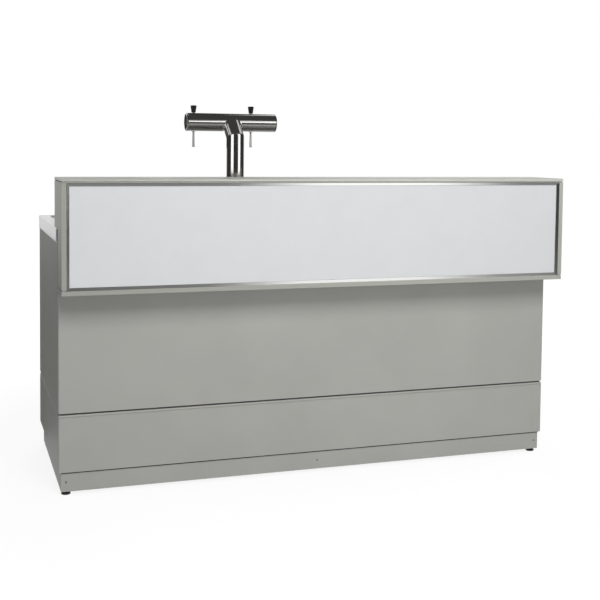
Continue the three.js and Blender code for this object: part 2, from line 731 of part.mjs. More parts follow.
// A closed prism between two end outlines with as many points each.
function prismBetween(start, end) {
  const count = start.length;
  const points = [...start, ...end].flat();
  const faces = [];
  for (let i = 1; i < count - 1; i += 1) {
    faces.push(0, i, i + 1);
    faces.push(count, count + i + 1, count + i);
  }
  for (let i = 0; i < count; i += 1) {
    const next = (i + 1) % count;
    faces.push(i, count + next, next);
    faces.push(i, count + i, count + next);
  }
  const geometry = new THREE.BufferGeometry();
  geometry.setAttribute("position", new THREE.Float32BufferAttribute(points, 3));
  geometry.setIndex(faces);
  geometry.computeVertexNormals();
  return geometry;
}
addSign();

// Inside the light box: back wall, reflector plate and two light battens on it.
function addLights() {
  const inner = HALF_WIDTH - CHEEK;
  place(
    body,
    "upstand_panel",
    boxGeometry([-inner, BAR_TOP_BACK - UPSTAND, WORKTOP_HEIGHT], [inner, BAR_TOP_BACK, SLAB_BOTTOM]),
    "steel",
  );
  const plate = REFLECTOR_SETBACK - OVERHANG;
  place(
    body,
    "reflector_plate",
    boxGeometry([-inner, plate, FASCIA_BOTTOM + SHEET], [inner, plate + REFLECTOR, SLAB_BOTTOM]),
    "white",
  );
  const half = BATTEN_BASE / 2;
  const section = new THREE.Shape();
  section.moveTo(0, -half);
  section.lineTo(0, half);
  section.lineTo(-BATTEN_HEIGHT + BATTEN_TUBE_RADIUS, BATTEN_TUBE_RADIUS);
  section.absarc(-BATTEN_HEIGHT, 0, BATTEN_TUBE_RADIUS, Math.PI / 2, Math.PI * 1.5);
  section.lineTo(-BATTEN_HEIGHT + BATTEN_TUBE_RADIUS, -BATTEN_TUBE_RADIUS);
  section.closePath();
  const heights = { lower: BOTTOM_RAIL_TOP + BATTEN_FROM_EDGE, upper: FRAME_TOP - BATTEN_FROM_EDGE };
  for (const [level, height] of Object.entries(heights)) {
    const batten = alongX(section, -BATTEN_LENGTH / 2, BATTEN_LENGTH / 2, BATTEN_SIDES);
    place(body, `light_batten_${level}`, batten, "white", 0, plate, height);
  }
}
addLights();

// Tower: measured from its column's axis on the worktop's field.
const tower = new THREE.Group();
tower.position.set(TOWER_X, TOWER_FROM_FRONT, FIELD_HEIGHT);
body.add(tower);
const ARM = COLUMN_HEIGHT + NECK_RISE;

// Everything on the far side of a plane through a point, as a large block.
function halfSpace(point, normal) {
  const size = BODY_WIDTH;
  const turn = new THREE.Quaternion().setFromUnitVectors(new THREE.Vector3(0, 0, 1), normal);
  const geometry = boxGeometry([-size, -size, 0], [size, size, size]);
  return solid(geometry.applyQuaternion(turn).translate(point.x, point.y, point.z));
}

function addTower() {
  const flange = solid(bar(FLANGE_RADIUS, 0, FLANGE_HEIGHT, TUBE_SIDES))
    .add(solid(bar(SHANK_RADIUS, -SHANK_LENGTH, FLANGE_HEIGHT, TUBE_SIDES)))
    .subtract(solid(bar(SHANK_BORE, -SHANK_LENGTH * 2, FLANGE_HEIGHT * 2, TUBE_SIDES)));
  place(tower, "tower_base", flange, "polished");
  const nutTop = BOARD_BOTTOM - FIELD_HEIGHT;
  const nut = ring(NUT_RADIUS, SHANK_RADIUS + GAP, nutTop - NUT_HEIGHT, nutTop, TUBE_SIDES);
  place(tower, "tower_lock_nut", nut, "steel");

  const rise = new THREE.Vector3(0, ARM_SETBACK, NECK_RISE);
  const along = rise.clone().normalize();
  const up = new THREE.Vector3(0, 0, 1);
  const mitreNormal = along.clone().add(up).normalize();
  const mitrePoint = new THREE.Vector3(0, 0, COLUMN_HEIGHT);
  const bore = COLUMN_RADIUS - TUBE_WALL;
  const reach = rise.length();

  const tubeTop = COLUMN_HEIGHT + COLUMN_RADIUS * 2;
  const tube = solid(ring(COLUMN_RADIUS, bore, FLANGE_HEIGHT, tubeTop, TUBE_SIDES));
  place(tower, "tower_column", tube.subtract(halfSpace(mitrePoint, mitreNormal)), "polished");

  const lean = new THREE.Quaternion().setFromUnitVectors(up, along);
  const neck = (radius) =>
    solid(
      bar(radius, -COLUMN_RADIUS * 2, reach, TUBE_SIDES)
        .applyQuaternion(lean)
        .translate(0, 0, COLUMN_HEIGHT),
    );
  const armBar = (radius, length) =>
    solid(
      bar(radius, -length / 2, length / 2, TUBE_SIDES)
        .rotateY(Math.PI / 2)
        .translate(0, ARM_SETBACK, ARM),
    );
  const below = mitrePoint.clone().addScaledVector(mitreNormal, GAP);
  const head = neck(COLUMN_RADIUS)
    .add(armBar(ARM_RADIUS, ARM_LENGTH))
    .subtract(neck(bore).add(armBar(ARM_RADIUS - TUBE_WALL, ARM_LENGTH * 2)))
    .subtract(halfSpace(below, mitreNormal.clone().negate()));
  place(tower, "tower_head", head, "polished");

  const domeSteps = 5;
  const cap = [[0, 0], [ARM_RADIUS, 0]];
  for (let i = 0; i <= domeSteps; i += 1) {
    const turn = (i / domeSteps) * (Math.PI / 2);
    cap.push([ARM_RADIUS * Math.cos(turn), CAP_EDGE + CAP_DOME * Math.sin(turn)]);
  }
  cap[cap.length - 1][0] = 0;
  for (const [side, sign] of [["left", -1], ["right", 1]]) {
    const mesh = place(tower, `arm_cap_${side}`, turned(cap, TUBE_SIDES), "polished");
    mesh.position.set(sign * (ARM_LENGTH / 2 + GAP), ARM_SETBACK, ARM);
    mesh.rotation.y = (sign * Math.PI) / 2;
  }
  for (const [side, sign] of [["left", -1], ["right", 1]]) {
    addTap(side, (sign * TAP_SPACING) / 2);
  }
}

// One tap: a body on the arm, a spout under it and a tilting lever on top.
function addTap(side, x) {
  const tap = new THREE.Group();
  tap.position.set(x, ARM_SETBACK, ARM);
  tower.add(tap);
  const pivot = VALVE_ABOVE + BALL_LIFT;
  const lying = (radius, from, to) =>
    solid(bar(radius, from, to, TAP_SIDES).rotateX(-Math.PI / 2));
  const collarEnd = ARM_RADIUS + TAP_COLLAR_LENGTH;
  const valve = solid(bar(VALVE_RADIUS, -VALVE_BELOW, VALVE_ABOVE, TAP_SIDES)).translate([0, TAP_REACH, 0]);
  const cup = solid(new THREE.SphereGeometry(BALL_RADIUS + BALL_CLEARANCE, TAP_SIDES, TAP_SIDES / 2));
  const arm = solid(
    bar(ARM_RADIUS + GAP, -ARM_LENGTH, ARM_LENGTH, TUBE_SIDES).rotateY(Math.PI / 2),
  );
  const tapBody = lying(TAP_BARREL_RADIUS, 0, TAP_REACH)
    .add(lying(TAP_COLLAR_RADIUS, 0, collarEnd))
    .add(valve)
    .subtract(arm)
    .subtract(cup.translate([0, TAP_REACH, pivot]));
  place(tap, `tap_body_${side}`, tapBody, "polished");

  const spoutEnd = -VALVE_BELOW - SPOUT_LENGTH;
  const socketFoot = -VALVE_BELOW - SPOUT_SOCKET_LENGTH;
  const spout = turned(
    [
      [SPOUT_BORE, spoutEnd],
      [SPOUT_END_RADIUS, spoutEnd],
      [SPOUT_NECK_RADIUS, socketFoot],
      [SPOUT_SOCKET_RADIUS, socketFoot],
      [SPOUT_SOCKET_RADIUS, -VALVE_BELOW],
      [SPOUT_BORE, -VALVE_BELOW],
      [SPOUT_BORE, spoutEnd],
    ],
    TAP_SIDES,
  );
  place(tap, `tap_spout_${side}`, spout, "polished", 0, TAP_REACH, 0);

  const knobTop = STEM_LENGTH + KNOB_HEIGHT;
  const ballSteps = 8;
  const profile = [];
  for (let i = 0; i <= ballSteps; i += 1) {
    const turn = (i / ballSteps - 0.5) * Math.PI;
    const radius = BALL_RADIUS * Math.cos(turn);
    const height = BALL_RADIUS * Math.sin(turn);
    if (height > 0 && radius < STEM_RADIUS) break;
    profile.push([i === 0 ? 0 : radius, height]);
  }
  profile.push(
    [STEM_RADIUS, Math.sqrt(BALL_RADIUS ** 2 - STEM_RADIUS ** 2)],
    [STEM_RADIUS, STEM_LENGTH],
    [KNOB_FOOT_RADIUS, STEM_LENGTH],
    [KNOB_TOP_RADIUS, knobTop - KNOB_ROUND],
    [KNOB_TOP_RADIUS - KNOB_ROUND, knobTop],
    [0, knobTop],
  );
  place(tap, `tap_lever_${side}`, turned(profile, TAP_SIDES), "black", 0, TAP_REACH, pivot);
}
addTower();

export default counter;
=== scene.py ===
import json
import math

import bmesh
import bpy
from mathutils import Matrix, Vector


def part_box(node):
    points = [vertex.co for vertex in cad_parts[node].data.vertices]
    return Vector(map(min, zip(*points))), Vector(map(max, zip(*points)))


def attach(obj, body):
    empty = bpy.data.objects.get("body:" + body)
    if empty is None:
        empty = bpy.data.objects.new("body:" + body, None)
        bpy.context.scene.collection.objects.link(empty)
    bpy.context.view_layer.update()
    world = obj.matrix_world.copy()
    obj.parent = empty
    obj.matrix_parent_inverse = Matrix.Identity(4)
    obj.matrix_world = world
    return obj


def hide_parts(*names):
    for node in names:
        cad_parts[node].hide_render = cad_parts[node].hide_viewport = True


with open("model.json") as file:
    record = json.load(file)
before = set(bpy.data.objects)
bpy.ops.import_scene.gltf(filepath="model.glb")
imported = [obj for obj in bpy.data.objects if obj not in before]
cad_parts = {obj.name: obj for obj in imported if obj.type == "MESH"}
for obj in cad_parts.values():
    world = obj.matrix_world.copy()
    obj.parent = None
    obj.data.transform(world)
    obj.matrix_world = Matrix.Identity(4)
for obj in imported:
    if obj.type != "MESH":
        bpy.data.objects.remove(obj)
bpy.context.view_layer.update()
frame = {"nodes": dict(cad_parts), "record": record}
nodes = frame["nodes"]
slots = {s["node"]: s["material_slot"] for s in frame["record"]["subparts"]}
scene = bpy.context.scene

# Main planes and centres of the counter, in metres, as in the solids.
FRONT = -0.325
FIELD = 0.970
RIM_TOP = 0.978
TOWER = Vector((-0.264, FRONT + 0.300, FIELD))
BASE_HIGH = 0.0125
COLUMN_R = 0.0365
ARM_R = 0.037
ARM_HALF = 0.1855
MITRE = TOWER + Vector((0, 0, 0.345))
ARM = MITRE + Vector((0, 0.072, 0.062))
TAP_REACH = 0.141
TAP_X = {"left": -0.125, "right": 0.125}
SIGNS = {"left": -1, "right": 1}


# Node helpers

def add(tree, kind, **values):
    """A new node. Each value goes to the input of that name, or else to the attribute."""
    node = tree.nodes.new(kind)
    for key, value in values.items():
        if key in node.inputs:
            node.inputs[key].default_value = value
        else:
            setattr(node, key, value)
    return node


def noise(tree, scale, stretch=(1, 1, 1), detail=4.0, rough=0.55):
    where = add(tree, "ShaderNodeTexCoord")
    mapping = add(tree, "ShaderNodeMapping", Scale=stretch)
    node = add(tree, "ShaderNodeTexNoise", Scale=scale, Detail=detail, Roughness=rough)
    tree.links.new(where.outputs["Object"], mapping.inputs["Vector"])
    tree.links.new(mapping.outputs["Vector"], node.inputs["Vector"])
    return node.outputs["Fac"]


def ramp(tree, value, low, high, start=0.3, end=0.7):
    node = add(tree, "ShaderNodeValToRGB")
    for point, place, color in zip(node.color_ramp.elements, (start, end), (low, high)):
        point.position = place
        point.color = (*color, 1)
    tree.links.new(value, node.inputs["Fac"])
    return node.outputs["Color"]


def spread(tree, value, low, high, start=0.0, end=1.0):
    """The value taken from start and end to low and high."""
    limits = {"From Min": start, "From Max": end, "To Min": low, "To Max": high}
    node = add(tree, "ShaderNodeMapRange", **limits)
    tree.links.new(value, node.inputs["Value"])
    return node.outputs["Result"]


def combine(tree, operation, first, second):
    node = add(tree, "ShaderNodeMath", operation=operation)
    tree.links.new(first, node.inputs[0])
    tree.links.new(second, node.inputs[1])
    return node.outputs[0]


# Finishes

def new_material(name):
    mat = bpy.data.materials.new(name)
    mat.use_nodes = True
    tree = mat.node_tree
    return mat, tree, tree.nodes["Principled BSDF"]


def tint(tree, shader, value, color, variation):
    """Base colour, a little darker and lighter with the value."""
    low, high = (tuple(c * share for c in color) for share in (1 - variation, 1 + variation))
    tree.links.new(ramp(tree, value, low, high), shader.inputs["Base Color"])


def gloss_change(tree, shader, value, rough, change):
    """Roughness, a little lower and higher with the value."""
    tree.links.new(spread(tree, value, rough - change, rough + change), shader.inputs["Roughness"])


def bump(tree, shader, value, strength, distance):
    node = add(tree, "ShaderNodeBump", Strength=strength, Distance=distance)
    tree.links.new(value, node.inputs["Height"])
    tree.links.new(node.outputs["Normal"], shader.inputs["Normal"])


def paint(name, color, rough=0.5, gloss=0.5):
    """Satin paint: faint cloudy colour, fine orange peel and a little uneven gloss."""
    mat, tree, shader = new_material(name)
    tint(tree, shader, noise(tree, scale=3.0, detail=6), color, variation=0.04)
    gloss_change(tree, shader, noise(tree, scale=40.0), rough, change=0.05)
    shader.inputs["Specular IOR Level"].default_value = gloss
    bump(tree, shader, noise(tree, scale=700.0, detail=2), strength=0.05, distance=0.0004)
    return mat


def metal(name, color, rough, streak, depth, variation, grain=60.0, metallic=1.0):
    """Brushed or satin metal: streaks along one direction in colour, gloss and relief."""
    mat, tree, shader = new_material(name)
    lines = noise(tree, grain, streak, detail=8, rough=0.7)
    tint(tree, shader, lines, color, variation)
    gloss_change(tree, shader, lines, rough, change=0.06)
    shader.inputs["Metallic"].default_value = metallic
    bump(tree, shader, lines, depth, distance=0.0003)
    return mat


def plastic(name, color, rough, peel=0.03, variation=0.03, gloss=0.5):
    """Moulded or cast plastic: nearly even colour, slight gloss changes and a faint skin."""
    mat, tree, shader = new_material(name)
    tint(tree, shader, noise(tree, scale=12.0), color, variation)
    gloss_change(tree, shader, noise(tree, scale=90.0), rough, change=0.05)
    shader.inputs["Specular IOR Level"].default_value = gloss
    bump(tree, shader, noise(tree, scale=900.0, detail=2), peel, distance=0.0003)
    return mat


def board(name, light, dark):
    """Plain plywood-like board with a long grain."""
    mat, tree, shader = new_material(name)
    lines = noise(tree, scale=14.0, stretch=(0.6, 9, 9), detail=9, rough=0.65)
    color = ramp(tree, lines, dark, light, start=0.35, end=0.65)
    tree.links.new(color, shader.inputs["Base Color"])
    gloss_change(tree, shader, lines, rough=0.7, change=0.1)
    bump(tree, shader, lines, strength=0.15, distance=0.0006)
    return mat


ALONG_X = (0.03, 6, 6)
ALONG_Z = (6, 6, 0.05)
NO_STREAK = (1, 1, 1)
TOWER_TONE = (0.55, 0.54, 0.525)
materials = {
    "casing_paint": paint("casing_paint", (0.372, 0.371, 0.349), rough=0.5, gloss=0.2),
    "plinth_paint": paint("plinth_paint", (0.365, 0.367, 0.343), rough=0.5, gloss=0.3),
    "fascia_metal": metal("fascia_metal", (0.455, 0.463, 0.418), 0.45, ALONG_X,
                          depth=0.05, variation=0.06, metallic=0.55),
    "bezel_chrome": metal("bezel_chrome", (0.66, 0.66, 0.645), 0.17, ALONG_X,
                          depth=0.02, variation=0.03),
    "opal_panel": plastic("opal_panel", (0.62, 0.627, 0.64), 0.45,
                          peel=0.02, variation=0.012, gloss=0.2),
    "white_paint": paint("white_paint", (0.85, 0.85, 0.84), rough=0.6),
    "white_plastic": plastic("white_plastic", (0.82, 0.82, 0.8), 0.45),
    "tower_chrome": metal("tower_chrome", TOWER_TONE, 0.1, ALONG_X, depth=0.03, variation=0.04),
    "black_plastic": plastic("black_plastic", (0.012, 0.012, 0.013), 0.22),
    "foot_plastic": plastic("foot_plastic", (0.02, 0.02, 0.02), 0.5, peel=0.08),
    "seal_rubber": plastic("seal_rubber", (0.045, 0.045, 0.044), 0.65, peel=0.05),
    "core_board": board("core_board", light=(0.46, 0.34, 0.21), dark=(0.33, 0.23, 0.13)),
    "worktop_steel": metal("worktop_steel", (0.66, 0.66, 0.655), 0.28, ALONG_X,
                           depth=0.04, variation=0.05, grain=110.0, metallic=0.75),
    "cabinet_steel": metal("cabinet_steel", (0.52, 0.52, 0.515), 0.36, ALONG_X,
                           depth=0.05, variation=0.06, metallic=0.75),
}
# A lighter copy of the fascia metal for the bar top: painted light, so that its top face looks
# brightly lit.
bar_top_lit_metal = metal("bar_top_lit_metal", (0.6, 0.605, 0.56), 0.42, ALONG_X,
                      depth=0.05, variation=0.06, metallic=0.55)
column_chrome = metal("column_chrome", TOWER_TONE, 0.1, ALONG_Z, depth=0.03, variation=0.04)
# Matt black for the strips in the gaps: painted shade, not a part's own colour.
shade_strip_black = plastic("shade_strip_black", (0.012, 0.012, 0.012), 0.7, peel=0.05)
screw_steel = metal("screw_steel", (0.2, 0.2, 0.19), 0.3, NO_STREAK,
                    depth=0.04, variation=0.1, grain=400.0)


# Mesh helpers, where a shape is a pair of vertices and faces

MERGE = 1e-6
SHARP_ANGLE = 32


def make(name, shape, body, slot, stands_for=(), mat=None):
    """A piece that rides on a body, in the slot's own finish unless another is given."""
    verts, faces = shape
    mesh = bpy.data.meshes.new(name)
    mesh.from_pydata([tuple(v) for v in verts], [], faces)
    bm = bmesh.new()
    bm.from_mesh(mesh)
    bmesh.ops.remove_doubles(bm, verts=bm.verts, dist=MERGE)
    bmesh.ops.recalc_face_normals(bm, faces=bm.faces)
    bm.to_mesh(mesh)
    bm.free()
    mesh.polygons.foreach_set("use_smooth", [True] * len(mesh.polygons))
    mesh.set_sharp_from_angle(angle=math.radians(SHARP_ANGLE))
    mesh.materials.append(mat or materials[slot])
    obj = bpy.data.objects.new(name, mesh)
    scene.collection.objects.link(obj)
    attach(obj, body)
    if stands_for:
        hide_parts(*stands_for)
    return obj


def loft(rings, close=True):
    """Quads between rings that have as many points each, with a face over each end."""
    count = len(rings[0])
    verts = [p for ring in rings for p in ring]
    faces = []
    for i in range(len(rings) - 1):
        near, far = i * count, (i + 1) * count
        for j in range(count):
            k = (j + 1) % count
            faces.append((near + j, near + k, far + k, far + j))
    if close:
        faces.append(tuple(reversed(range(count))))
        faces.append(tuple(range((len(rings) - 1) * count, len(rings) * count)))
    return verts, faces


def turns(sides):
    """Angles once round."""
    return [2 * math.pi * j / sides for j in range(sides)]


def on_circle(radius, turn, height=0.0):
    return Vector((radius * math.cos(turn), radius * math.sin(turn), height))


def lathe(profile, matrix, sides):
    """Radius and height pairs turned about Z, then placed by a matrix."""
    return loft([[matrix @ on_circle(radius, t, height) for t in turns(sides)]
                 for radius, height in profile])


def join(*shapes):
    verts, faces = [], []
    for shape_verts, shape_faces in shapes:
        start = len(verts)
        verts.extend(shape_verts)
        faces.extend(tuple(i + start for i in face) for face in shape_faces)
    return verts, faces


def arc(centre, radius, start, end, steps):
    """Points on an arc in a profile, angles in degrees."""
    out = []
    for i in range(steps + 1):
        t = math.radians(start + (end - start) * i / steps)
        out.append((centre[0] + radius * math.cos(t), centre[1] + radius * math.sin(t)))
    return out


def at(point, axis="Z"):
    """Places a shape at a point, with its Z along an axis."""
    turn = {
        "Z": Matrix(),
        "X": Matrix.Rotation(math.pi / 2, 4, "Y"),
        "-X": Matrix.Rotation(-math.pi / 2, 4, "Y"),
        "Y": Matrix.Rotation(-math.pi / 2, 4, "X"),
        "-Y": Matrix.Rotation(math.pi / 2, 4, "X"),
    }[axis]
    return Matrix.Translation(point) @ turn


# CAD nodes: each slot's finish, and small rounded edges

WELD = 0.00002
EDGE_ANGLE = 40
EDGE = {
    "casing_paint": 0.0012, "plinth_paint": 0.0008, "fascia_metal": 0.0022,
    "bezel_chrome": 0.0005, "opal_panel": 0.0006, "white_paint": 0.0003,
    "white_plastic": 0.0008, "core_board": 0.0006, "worktop_steel": 0.0005,
    "cabinet_steel": 0.0005,
}
BAR_TOP_EDGE = 0.0012


def finish_nodes():
    for name, obj in nodes.items():
        slot = slots[name]
        is_bar_top = name == "bar_top"
        obj.data.materials.clear()
        # The bar top takes the lighter copy of its slot's metal, which is painted light.
        obj.data.materials.append(bar_top_lit_metal if is_bar_top else materials[slot])
        if slot in EDGE:
            weld = obj.modifiers.new("weld", "WELD")
            weld.merge_threshold = WELD
            edge = obj.modifiers.new("edge", "BEVEL")
            edge.width = BAR_TOP_EDGE if is_bar_top else EDGE[slot]
            edge.segments = 2
            edge.limit_method = "ANGLE"
            edge.angle_limit = math.radians(EDGE_ANGLE)
            edge.use_clamp_overlap = True


finish_nodes()


# Tower

TUBE_SIDES = 96
ARM_SIDES = 128
# Share of the tube's radius and distance from the mitre, for the rings next to it.
COLUMN_END = ((1.0, 0.003), (1.0, 0.0012), (0.985, 0.0003))
NECK_END = ((0.985, 0.0004), (1.0, 0.0014), (1.0, 0.0032))


def add_base():
    plate_r, plate_high, plate_round = 0.065, 0.008, 0.0035
    collar_r, collar_round = 0.041, 0.001
    base = [(0.0, 0.0), (plate_r, 0.0), (plate_r, plate_high - plate_round)]
    base += arc((plate_r - plate_round, plate_high - plate_round), plate_round, 0, 90, 5)
    base += [(0.043, plate_high), (collar_r, 0.0085), (collar_r, BASE_HIGH - collar_round)]
    base += arc((collar_r - collar_round, BASE_HIGH - collar_round), collar_round, 0, 90, 3)
    base += [(0.037, BASE_HIGH), (0.0, BASE_HIGH)]

    crest_r, root_r, pitch, threads, low = 0.024, 0.0225, 0.003, 15, -0.05
    thread_start = low + pitch / 2
    shank = [(0.0, low), (root_r, low), (crest_r, thread_start)]
    for i in range(threads):
        z = thread_start + i * pitch
        shank += [(crest_r, z), (root_r, z + pitch / 2)]
    shank += [(crest_r, -0.0035), (crest_r, 0.0), (0.0, 0.0)]
    shape = join(lathe(base, at(TOWER), TUBE_SIDES), lathe(shank, at(TOWER), 48))
    make("tower_base_plate", shape, "counter", "tower_chrome", ["tower_base"])


def add_column(mitre):
    """Tube that is cut off along the mitre towards the neck."""
    foot, ends = [], [[] for _ in COLUMN_END]
    for t in turns(TUBE_SIDES):
        x, y = COLUMN_R * math.cos(t), COLUMN_R * math.sin(t)
        z = MITRE.z - mitre.y / mitre.z * y
        foot.append(Vector((TOWER.x + x, TOWER.y + y, TOWER.z + BASE_HIGH)))
        for ring, (share, drop) in zip(ends, COLUMN_END):
            ring.append(Vector((TOWER.x + x * share, TOWER.y + y * share, z - drop)))
    make("tower_column_tube", loft([foot, *ends]), "counter", "tower_chrome", ["tower_column"],
         column_chrome)


def meets_arm(offset, along):
    """How far along the neck a line that starts beside the mitre meets the arm's surface."""
    start = MITRE + offset - ARM
    a = along.y ** 2 + along.z ** 2
    b = start.y * along.y + start.z * along.z
    c = start.y ** 2 + start.z ** 2 - ARM_R ** 2
    return (-b - math.sqrt(max(b * b - a * c, 0.0))) / a


def add_head(along, mitre):
    """Neck from the mitre to the arm, with a small fillet where it is welded on."""
    across = Vector((1, 0, 0))
    other = along.cross(across)
    fillet, steps = 0.006, 6
    widest = ARM_R * 0.999
    ends = [[] for _ in NECK_END]
    curve = [[] for _ in range(steps + 1)]
    for t in turns(TUBE_SIDES):
        offset = COLUMN_R * (math.cos(t) * across + math.sin(t) * other)
        low = -(offset.dot(mitre)) / along.dot(mitre)
        high = meets_arm(offset, along)
        side = max(-widest, min(widest, (COLUMN_R + fillet) * math.sin(t)))
        wide = (COLUMN_R + fillet) * math.cos(t) * across + side * other
        meet = MITRE + offset + along * high
        outer = MITRE + wide + along * meets_arm(wide, along)
        start = meet - along * min(fillet, max(high - low, 0.0) * 0.5)
        for ring, (share, rise) in zip(ends, NECK_END):
            ring.append(MITRE + offset * share + along * (low + rise))
        for i, ring in enumerate(curve):
            s = i / steps
            ring.append(start * (1 - s) ** 2 + meet * 2 * s * (1 - s) + outer * s * s)
    neck = loft(ends + curve, close=False)

    chamfer = 0.0012
    body = [(0.0, -ARM_HALF), (ARM_R - chamfer, -ARM_HALF), (ARM_R, -ARM_HALF + chamfer)]
    body += [(ARM_R, ARM_HALF - chamfer), (ARM_R - chamfer, ARM_HALF), (0.0, ARM_HALF)]
    shape = join(neck, lathe(body, at(ARM, "X"), ARM_SIDES))
    make("tower_head_tube", shape, "counter", "tower_chrome", ["tower_head"])


def add_caps():
    gap, skirt, dome = 0.0003, 0.0018, 0.0042
    cap = [(0.0, 0.0), (ARM_R - 0.001, 0.0), (ARM_R, 0.0008), (ARM_R, skirt)]
    for angle in range(6, 90, 7):
        a = math.radians(angle)
        cap.append((ARM_R * math.cos(a), skirt + dome * math.sin(a)))
    cap.append((0.0, skirt + dome))
    for side, sign in SIGNS.items():
        end = ARM + Vector((sign * (ARM_HALF + gap), 0, 0))
        shape = lathe(cap, at(end, "X" if sign > 0 else "-X"), TUBE_SIDES)
        make(f"arm_end_{side}", shape, "counter", "tower_chrome", [f"arm_cap_{side}"])


def add_nut():
    """Six-sided nut with its washer, under the worktop."""
    bore_r, washer_r, flat_r, corner_r = 0.0245, 0.042, 0.034, 0.0385
    top = -0.0135
    washer, low = top - 0.003, top - 0.016
    sixth = math.pi / 3

    def ring(radius, z):
        return [TOWER + on_circle(radius, t, z) for t in turns(TUBE_SIDES)]

    def hexagon(z):
        out = []
        for t in turns(TUBE_SIDES):
            from_flat = (t + sixth / 2) % sixth - sixth / 2
            out.append(TOWER + on_circle(min(flat_r / math.cos(from_flat), corner_r), t, z))
        return out

    inner = ring(bore_r, top)
    rings = [inner, ring(washer_r, top), ring(washer_r, washer), ring(0.04, washer)]
    rings += [hexagon(washer), hexagon(low), ring(bore_r, low), inner]
    make("tower_nut", loft(rings, close=False), "counter", "cabinet_steel", ["tower_lock_nut"])


def add_tower():
    along = (ARM - MITRE).normalized()
    mitre = (along + Vector((0, 0, 1))).normalized()
    add_base()
    add_column(mitre)
    add_head(along, mitre)
    add_caps()
    add_nut()


# Taps: a valve on a shank, a spout with a sleeve, and a lever with a knob

VALVE_LOW = -0.026
CURVE_STEPS = 8


def add_valve(side, root, tap):
    ring_r, ring_round, neck_r, pipe_r = 0.019, 0.0015, 0.0165, 0.012
    sunk = ARM_R - 0.003
    first, second, end = ARM_R + 0.0075, ARM_R + 0.009, ARM_R + 0.018
    shank = [(0.0, sunk), (ring_r, sunk), (ring_r, first - ring_round)]
    shank += arc((ring_r - ring_round, first - ring_round), ring_round, 0, 90, 3)
    shank += [(neck_r, first), (neck_r, second), (ring_r, second), (ring_r, end - ring_round)]
    shank += [(ring_r - ring_round, end), (pipe_r, end), (pipe_r, TAP_REACH - 0.016)]
    shank += [(pipe_r, TAP_REACH), (0.0, TAP_REACH)]
    foot_r, valve_r, groove_r, top_round = 0.0145, 0.016, 0.0152, 0.0018
    valve = [(0.0, VALVE_LOW), (0.0125, VALVE_LOW), (foot_r, VALVE_LOW + ring_round)]
    valve += [(foot_r, -0.0195), (valve_r, -0.018), (valve_r, 0.0155)]
    valve += [(groove_r, 0.0163), (groove_r, 0.0178), (valve_r, 0.0186), (valve_r, 0.022)]
    valve += arc((valve_r - top_round, 0.0222), top_round, 0, 90, 4)
    valve += [(0.0107, 0.024), (0.0103, 0.0225), (0.0, 0.0225)]
    shape = join(lathe(shank, at(root, "Y"), 64), lathe(valve, at(tap), 64))
    make(f"tap_valve_{side}", shape, "counter", "tower_chrome", [f"tap_body_{side}"])


def add_spout(side, tap):
    collar_r, bore_r, lip = 0.009, 0.0026, 0.0006
    pipe_top, end = VALVE_LOW - 0.0095, -0.1015
    spout = [(0.0025, VALVE_LOW), (collar_r, VALVE_LOW), (collar_r, VALVE_LOW - 0.007)]
    spout += [(0.0078, VALVE_LOW - 0.009), (0.0045, pipe_top)]
    for i in range(CURVE_STEPS + 1):
        s = i / CURVE_STEPS
        spout.append((0.0041 + 0.0012 * s ** 1.4, pipe_top + (end + lip - pipe_top) * s))
    spout += [(0.0049, end), (0.0031, end), (bore_r, end + lip), (bore_r, VALVE_LOW)]
    make(f"tap_nozzle_{side}", lathe(spout, at(tap), 48), "counter", "tower_chrome",
         [f"tap_spout_{side}"], column_chrome)

    inner_r, edge_r, outer_r, edge_round = 0.005, 0.0088, 0.0094, 0.0006
    low, high = VALVE_LOW - 0.0105, VALVE_LOW - 0.0002
    sleeve = [(inner_r, low), (edge_r, low), (outer_r, low + 0.0007)]
    sleeve += [(outer_r, high - edge_round), (edge_r, high), (inner_r, high), (inner_r, low)]
    make(f"spout_sleeve_{side}", lathe(sleeve, at(tap), 48), "counter", "black_plastic")


def add_lever(side, tap):
    lever = f"tap_lever_{side}"
    pivot = at(tap + Vector((0, 0, 0.027)))
    ball_r, stem_r, nut_r, nut_top = 0.01, 0.004, 0.0062, 0.0163
    ball = [(0.0, -ball_r)] + arc((0, 0), ball_r, -80, 66, 14)
    ball += [(stem_r, 0.0093), (stem_r, 0.0118), (nut_r, 0.0122), (nut_r, 0.0155)]
    ball += [(0.0056, nut_top), (0.0, nut_top)]
    make(f"lever_stem_{side}", lathe(ball, pivot, 48), lever, "tower_chrome")

    foot, top, foot_r, foot_round = 0.0165, 0.0465, 0.0082, 0.0011
    flare = top - foot - 0.0041
    knob = [(0.0, foot), (foot_r, foot)]
    knob += arc((foot_r, foot + foot_round), foot_round, -90, 0, 3)
    for i in range(1, CURVE_STEPS + 1):
        s = i / CURVE_STEPS
        knob.append((foot_r + foot_round + 0.0036 * s ** 1.15, foot + foot_round + flare * s))
    knob += arc((0.0107, top - 0.003), 0.0024, 8, 84, 5)
    knob += [(0.006, top - 0.0001), (0.0, top)]
    make(f"lever_knob_{side}", lathe(knob, pivot, 48), lever, "black_plastic", [lever])


def add_tap(side):
    root = ARM + Vector((TAP_X[side], 0, 0))
    tap = ARM + Vector((TAP_X[side], TAP_REACH, 0))
    add_valve(side, root, tap)
    add_spout(side, tap)
    add_lever(side, tap)


add_tower()
for tap_side in TAP_X:
    add_tap(tap_side)


# Levelling feet and the plinth's small screws

